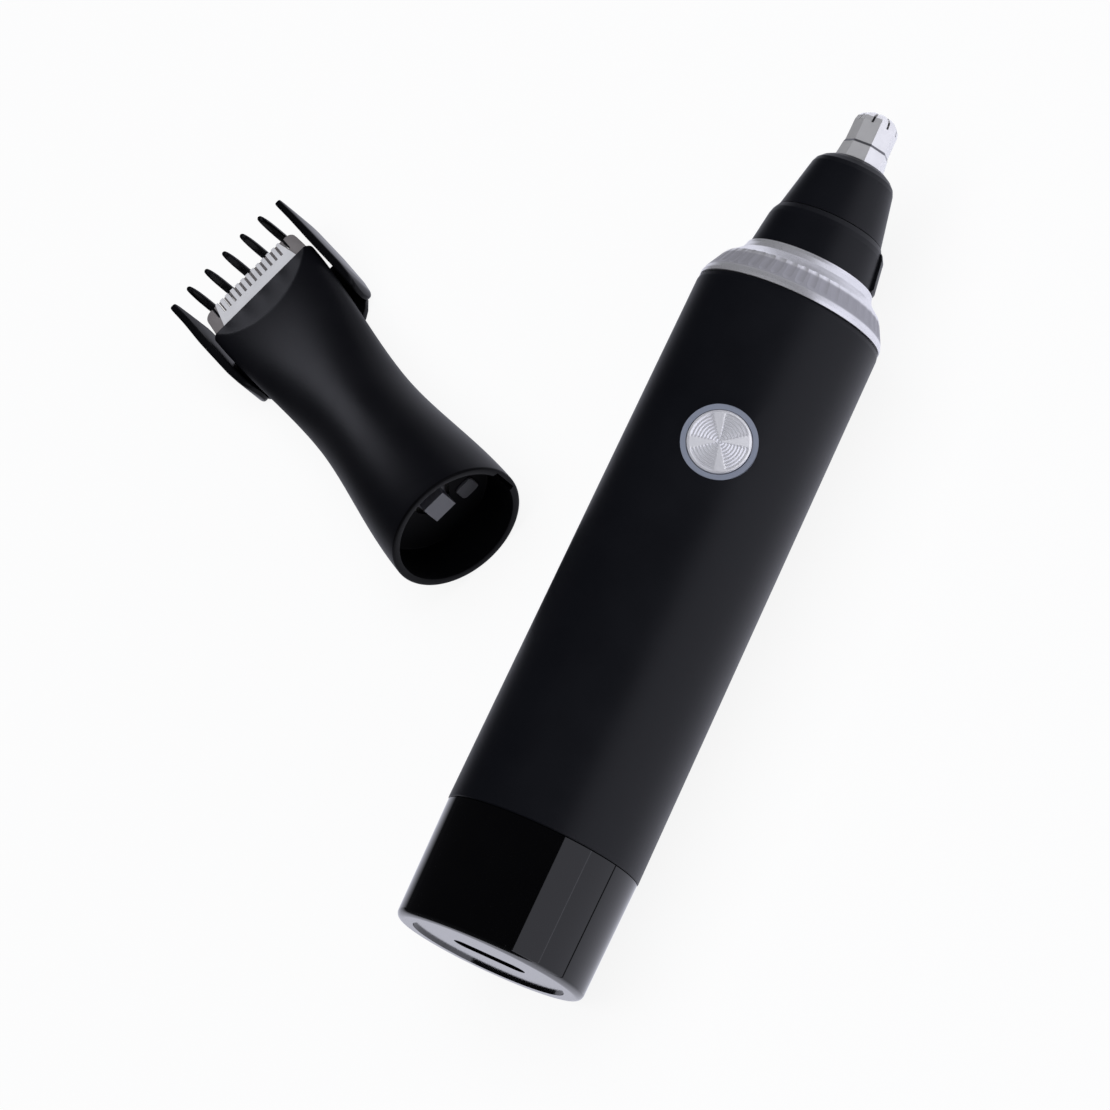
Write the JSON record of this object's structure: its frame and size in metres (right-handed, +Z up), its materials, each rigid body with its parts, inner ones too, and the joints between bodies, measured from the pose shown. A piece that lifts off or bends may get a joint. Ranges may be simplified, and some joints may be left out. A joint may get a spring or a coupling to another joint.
{
  "type": "nose hair trimmer",
  "caption": "Round rechargeable trimmer handle with a rotary slotted nose head, push button and fluted ring, beside a spare straight-blade head with a clip-on comb.",
  "frame": {"origin": "on the table, under the middle of the box that holds the handle and the head beside it", "axes": "+Y along the handle from its base to its steel tip, +Z up from the table, +X to the side the button leans to"},
  "size_m": [0.1238, 0.133, 0.0292],
  "materials": {
    "gloss_black": "glossy moulded",
    "soft_black": "soft-touch matte",
    "satin_silver": "satin, fluted",
    "spun_silver": "spun concentric",
    "grey_bezel": "satin",
    "tip_steel": "polished",
    "blade_steel": "ground bright",
    "fixed_steel": "ground dull",
    "inner_plastic": "moulded",
    "board_green": "solder mask",
    "cell_wrap": "shrink wrap",
    "nickel": "plain",
    "brass_part": "plain",
    "copper_wire": "insulated wire",
    "magnet_dark": "sintered",
    "winding": "enamelled wire"
  },
  "bodies": {
    "handle": {"base_cap": "gloss_black", "handle_shell": "soft_black", "trim_ring": "satin_silver", "neck": "soft_black", "bezel": "grey_bezel", "chassis_frame": "inner_plastic", "battery_cell": "cell_wrap", "battery_tabs": "nickel", "battery_leads": "copper_wire", "main_board": "board_green", "switch_body": "nickel", "status_led": "inner_plastic", "charge_board": "board_green", "board_screws": "nickel", "charge_socket": "nickel", "charge_tongue": "gloss_black", "motor_can": "nickel", "motor_endbell": "inner_plastic", "motor_magnets": "magnet_dark", "motor_terminals": "brass_part", "motor_leads": "copper_wire", "motor_screws": "nickel"},
    "button": {"button_cap": "spun_silver"},
    "plunger": {"switch_plunger": "gloss_black"},
    "rotor": {"motor_shaft": "nickel", "motor_rotor": "winding", "drive_coupling": "inner_plastic"},
    "nose_head": {"nose_cone": "soft_black", "shaft_bush": "inner_plastic", "cutter_guard": "tip_steel"},
    "cutter": {"cutter_shaft": "nickel", "cutter_spring": "nickel", "inner_cutter": "blade_steel"},
    "trimmer_head": {"front_shell": "soft_black", "rear_shell": "soft_black", "eccentric_bush": "inner_plastic", "fixed_blade": "fixed_steel", "blade_screws": "nickel", "blade_spring": "nickel"},
    "crank": {"eccentric_shaft": "inner_plastic"},
    "blade": {"moving_blade": "blade_steel", "blade_yoke": "inner_plastic"},
    "comb": {"comb_guard": "gloss_black"}
  },
  "joints": [
    {"name": "button_press", "type": "slide", "parent": "handle", "child": "button", "axis": [-0.515, 0, -0.8572], "range_m": [0, 0.0005], "stiffness_N_per_m": 800, "springref_m": -0.001},
    {"name": "plunger_press", "type": "slide", "parent": "handle", "child": "plunger", "axis": [-0.515, 0, -0.8572], "range_m": [0, 0.0005]},
    {"name": "motor_spin", "type": "hinge", "parent": "handle", "child": "rotor", "pos_m": [0.04743, 0.04843, 0.0145], "axis": [0, 1, 0], "continuous": true},
    {"name": "nose_head_pull", "type": "slide", "parent": "handle", "child": "nose_head", "axis": [0, 1, 0], "range_m": [0, 0.03]},
    {"name": "cutter_spin", "type": "hinge", "parent": "nose_head", "child": "cutter", "pos_m": [0.04743, 0.05858, 0.0145], "axis": [0, 1, 0], "continuous": true},
    {"name": "trimmer_head_slide", "type": "slide", "parent": "handle", "child": "trimmer_head", "axis": [-1, 0, 0], "range_m": [0, 0.03]},
    {"name": "crank_spin", "type": "hinge", "parent": "trimmer_head", "child": "crank", "pos_m": [0.00663, -0.00808, 0.0106], "axis": [-0.9003, 0.4352, 0], "continuous": true},
    {"name": "blade_stroke", "type": "slide", "parent": "trimmer_head", "child": "blade", "axis": [0.4352, 0.9003, 0], "range_m": [-0.001, 0.001]},
    {"name": "comb_pull", "type": "slide", "parent": "trimmer_head", "child": "comb", "axis": [-0.9003, 0.4352, 0], "range_m": [0, 0.03]}
  ],
  "couplings": [
    {"joint": "plunger_press", "follows": "button_press", "ratio": 1},
    {"joint": "cutter_spin", "follows": "motor_spin", "ratio": 1}
  ]
}
